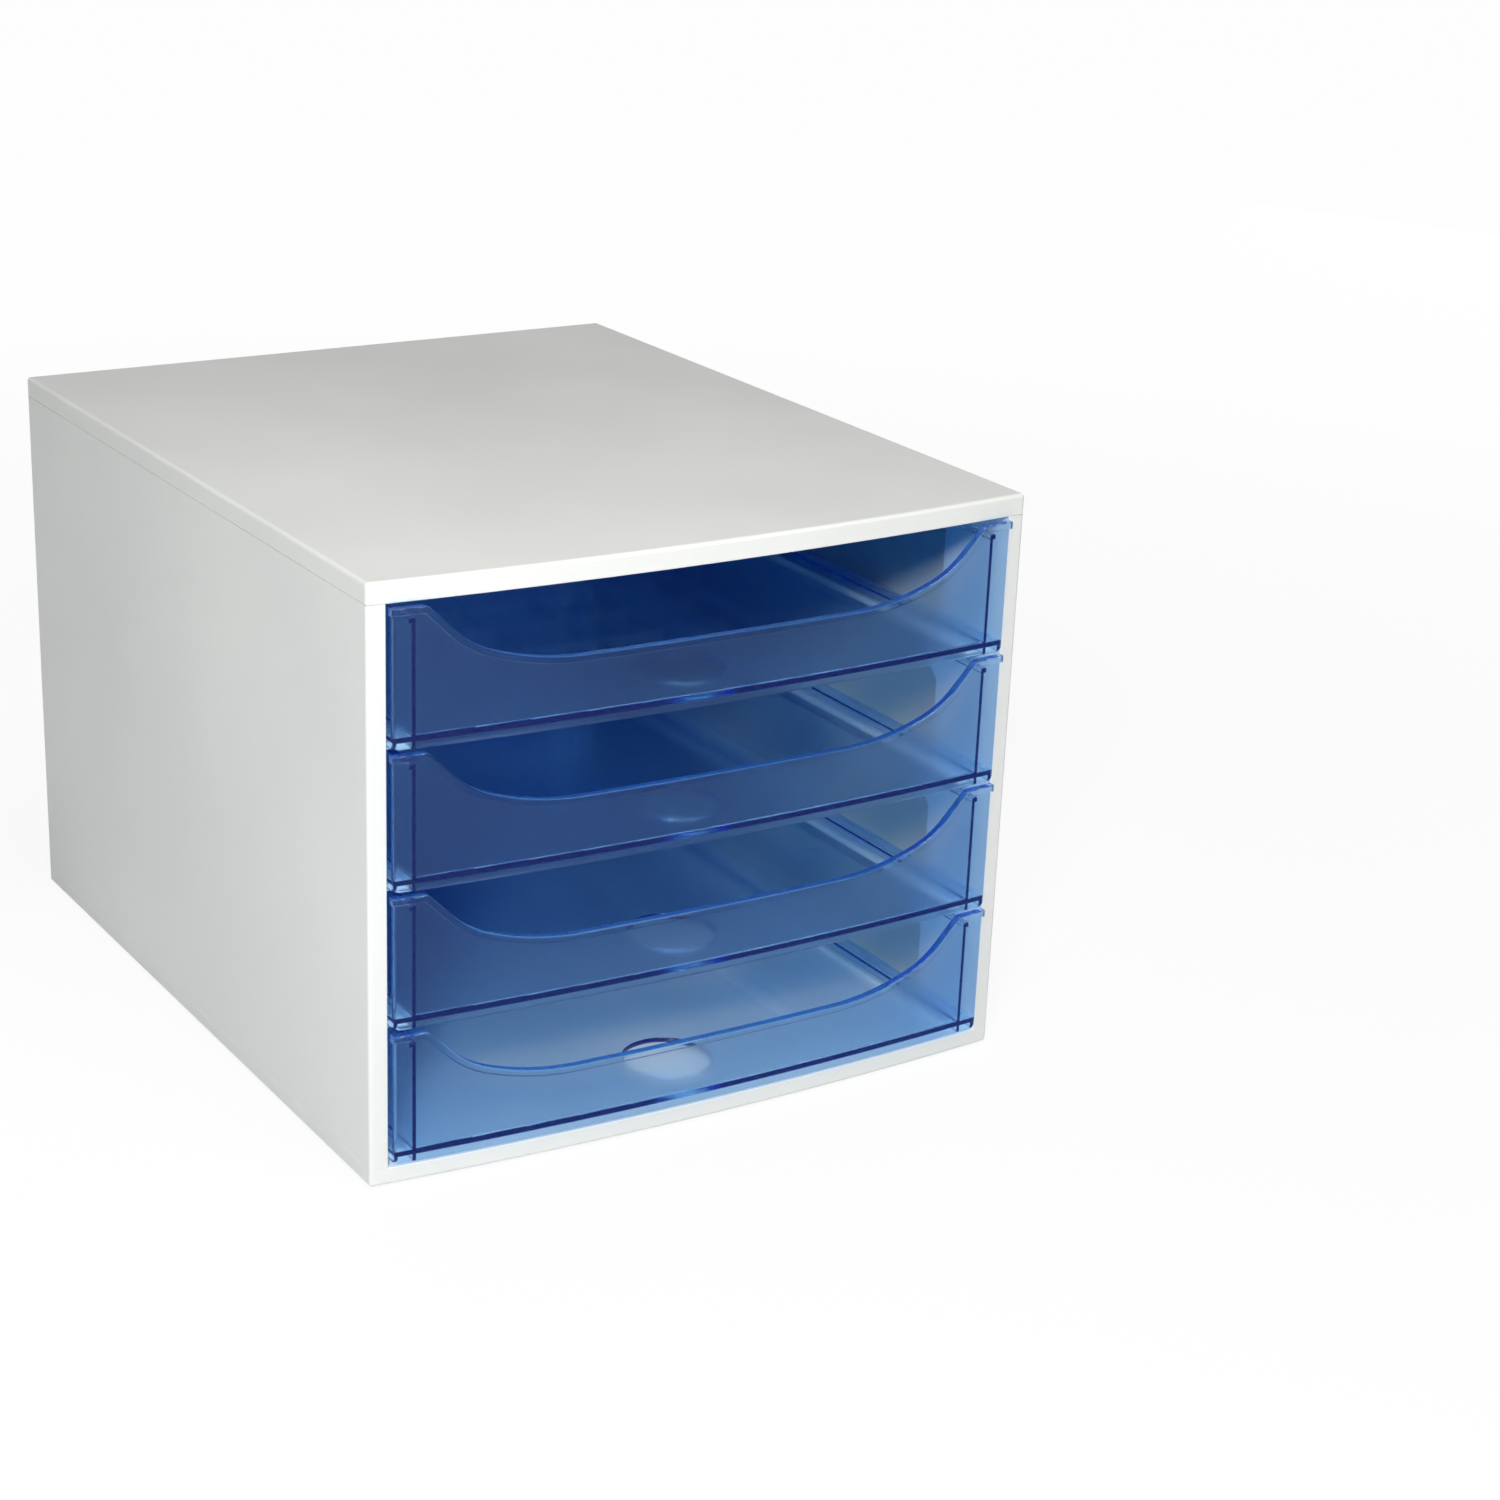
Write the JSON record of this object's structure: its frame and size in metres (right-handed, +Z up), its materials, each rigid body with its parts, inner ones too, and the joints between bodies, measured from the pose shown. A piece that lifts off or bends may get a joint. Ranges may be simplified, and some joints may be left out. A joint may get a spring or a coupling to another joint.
{
  "type": "file box with drawer",
  "caption": "Desktop file box: flat panels round a stack of clear coloured letter-tray drawers, each with a bowed front that dips for the hand and a finger hole in its floor.",
  "frame": {"origin": "on the surface that the box stands on, below the middle of its overall width and depth", "axes": "+Z up; the drawer fronts face -Y and the drawers open towards -Y; +X is to the right of someone who looks at the fronts"},
  "size_m": [0.282, 0.3478, 0.235],
  "materials": {
    "top_panel": "fine satin texture",
    "base_panel": "fine satin texture",
    "left_side_panel": "fine satin texture",
    "right_side_panel": "fine satin texture",
    "back_panel": "fine satin texture",
    "front_left_foot": "soft and dull",
    "front_right_foot": "soft and dull",
    "rear_left_foot": "soft and dull",
    "rear_right_foot": "soft and dull",
    "drawer_1": "clear coloured moulding, lightly frosted",
    "drawer_2": "clear coloured moulding, lightly frosted",
    "drawer_3": "clear coloured moulding, lightly frosted",
    "drawer_4": "clear coloured moulding, lightly frosted"
  },
  "bodies": {
    "case": {"top_panel": "top_panel", "base_panel": "base_panel", "left_side_panel": "left_side_panel", "right_side_panel": "right_side_panel", "back_panel": "back_panel", "front_left_foot": "front_left_foot", "front_right_foot": "front_right_foot", "rear_left_foot": "rear_left_foot", "rear_right_foot": "rear_right_foot"},
    "drawer_1_body": {"drawer_1": "drawer_1"},
    "drawer_2_body": {"drawer_2": "drawer_2"},
    "drawer_3_body": {"drawer_3": "drawer_3"},
    "drawer_4_body": {"drawer_4": "drawer_4"}
  },
  "joints": [
    {"name": "drawer_1_slide", "type": "slide", "parent": "case", "child": "drawer_1_body", "axis": [0, -1, 0], "range_m": [0, 0.245]},
    {"name": "drawer_2_slide", "type": "slide", "parent": "case", "child": "drawer_2_body", "axis": [0, -1, 0], "range_m": [0, 0.245]},
    {"name": "drawer_3_slide", "type": "slide", "parent": "case", "child": "drawer_3_body", "axis": [0, -1, 0], "range_m": [0, 0.245]},
    {"name": "drawer_4_slide", "type": "slide", "parent": "case", "child": "drawer_4_body", "axis": [0, -1, 0], "range_m": [0, 0.245]}
  ]
}
